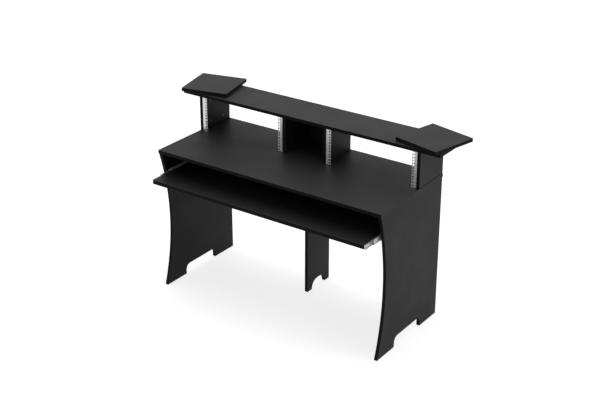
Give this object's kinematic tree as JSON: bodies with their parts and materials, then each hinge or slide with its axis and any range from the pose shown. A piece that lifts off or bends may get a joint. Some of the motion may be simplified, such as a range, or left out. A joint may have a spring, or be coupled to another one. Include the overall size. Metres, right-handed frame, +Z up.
{
  "type": "studio desk",
  "caption": "Black board studio desk: pull-out keyboard shelf on ball-bearing slides, rack bays under a monitor shelf, swivelling speaker platforms.",
  "frame": {"origin": "middle of the footprint's bounding box, on the floor", "axes": "+X to the right as seen from the seat, +Y from the seat to the rear, +Z up"},
  "size_m": [1.6078, 0.6932, 0.9836],
  "materials": {
    "black_melamine": "melamine-faced chipboard, matt black with a fine grain",
    "zinc_plated_steel": "bright zinc plate",
    "die_cast_zinc": "die-cast zinc, as cast",
    "black_plastic": "moulded black polyethylene",
    "white_nylon": "natural nylon",
    "grey_felt": "pressed felt"
  },
  "bodies": {
    "desk_frame": {"side_panel_left": "black_melamine", "side_panel_right": "black_melamine", "middle_leg": "black_melamine", "desktop": "black_melamine", "rear_panel_left": "black_melamine", "rear_panel_right": "black_melamine", "glide_left_front_foot_front": "black_plastic", "glide_left_front_foot_rear": "black_plastic", "glide_left_rear_foot_front": "black_plastic", "glide_left_rear_foot_rear": "black_plastic", "glide_right_front_foot_front": "black_plastic", "glide_right_front_foot_rear": "black_plastic", "glide_right_rear_foot_front": "black_plastic", "glide_right_rear_foot_rear": "black_plastic", "glide_middle_leg_front": "black_plastic", "glide_middle_leg_rear": "black_plastic", "cam_left_front": "die_cast_zinc", "cam_left_rear": "die_cast_zinc", "cam_right_front": "die_cast_zinc", "cam_right_rear": "die_cast_zinc", "cam_bolt_left_front": "zinc_plated_steel", "cam_bolt_left_rear": "zinc_plated_steel", "cam_bolt_right_front": "zinc_plated_steel", "cam_bolt_right_rear": "zinc_plated_steel", "rack_side_left": "black_melamine", "rack_side_right": "black_melamine", "rack_divider_left": "black_melamine", "rack_divider_right": "black_melamine", "cubby_back": "black_melamine", "rack_rail_left_outer": "zinc_plated_steel", "rack_rail_left_inner": "zinc_plated_steel", "rack_rail_right_inner": "zinc_plated_steel", "rack_rail_right_outer": "zinc_plated_steel", "monitor_shelf": "black_melamine", "pivot_washer_left": "white_nylon", "pivot_washer_right": "white_nylon", "slide_fixed_left": "zinc_plated_steel", "slide_fixed_right": "zinc_plated_steel"},
    "keyboard_drawer": {"keyboard_shelf": "black_melamine", "slide_shelf_left": "zinc_plated_steel", "slide_shelf_right": "zinc_plated_steel"},
    "left_slide_middle": {"slide_middle_left": "zinc_plated_steel"},
    "right_slide_middle": {"slide_middle_right": "zinc_plated_steel"},
    "left_outer_cage": {"ball_cage_outer_left": "black_plastic"},
    "right_outer_cage": {"ball_cage_outer_right": "black_plastic"},
    "left_inner_cage": {"ball_cage_inner_left": "black_plastic"},
    "right_inner_cage": {"ball_cage_inner_right": "black_plastic"},
    "left_platform": {"speaker_platform_left": "black_melamine", "pivot_insert_left": "die_cast_zinc", "pivot_bolt_left": "zinc_plated_steel", "platform_pad_left_front": "grey_felt", "platform_pad_left_rear": "grey_felt"},
    "right_platform": {"speaker_platform_right": "black_melamine", "pivot_insert_right": "die_cast_zinc", "pivot_bolt_right": "zinc_plated_steel", "platform_pad_right_front": "grey_felt", "platform_pad_right_rear": "grey_felt"}
  },
  "joints": [
    {"name": "keyboard_shelf_slide", "type": "slide", "parent": "desk_frame", "child": "keyboard_drawer", "axis": [0, -1, 0], "range_m": [-0.134, 0.166]},
    {"name": "left_slide_middle_travel", "type": "slide", "parent": "desk_frame", "child": "left_slide_middle", "axis": [0, -1, 0], "range_m": [-0.067, 0.083]},
    {"name": "right_slide_middle_travel", "type": "slide", "parent": "desk_frame", "child": "right_slide_middle", "axis": [0, -1, 0], "range_m": [-0.067, 0.083]},
    {"name": "left_outer_cage_travel", "type": "slide", "parent": "desk_frame", "child": "left_outer_cage", "axis": [0, -1, 0], "range_m": [-0.0335, 0.0415]},
    {"name": "right_outer_cage_travel", "type": "slide", "parent": "desk_frame", "child": "right_outer_cage", "axis": [0, -1, 0], "range_m": [-0.0335, 0.0415]},
    {"name": "left_inner_cage_travel", "type": "slide", "parent": "left_slide_middle", "child": "left_inner_cage", "axis": [0, -1, 0], "range_m": [-0.0335, 0.0415]},
    {"name": "right_inner_cage_travel", "type": "slide", "parent": "right_slide_middle", "child": "right_inner_cage", "axis": [0, -1, 0], "range_m": [-0.0335, 0.0415]},
    {"name": "left_platform_swivel", "type": "hinge", "parent": "desk_frame", "child": "left_platform", "pos_m": [-0.7, 0.1824, 0.974], "axis": [0, 0, 1], "continuous": true},
    {"name": "right_platform_swivel", "type": "hinge", "parent": "desk_frame", "child": "right_platform", "pos_m": [0.7, 0.1824, 0.974], "axis": [0, 0, 1], "continuous": true}
  ],
  "couplings": [
    {"joint": "left_slide_middle_travel", "follows": "keyboard_shelf_slide", "ratio": 0.5},
    {"joint": "right_slide_middle_travel", "follows": "keyboard_shelf_slide", "ratio": 0.5},
    {"joint": "left_outer_cage_travel", "follows": "keyboard_shelf_slide", "ratio": 0.25},
    {"joint": "right_outer_cage_travel", "follows": "keyboard_shelf_slide", "ratio": 0.25},
    {"joint": "left_inner_cage_travel", "follows": "keyboard_shelf_slide", "ratio": 0.25},
    {"joint": "right_inner_cage_travel", "follows": "keyboard_shelf_slide", "ratio": 0.25}
  ]
}
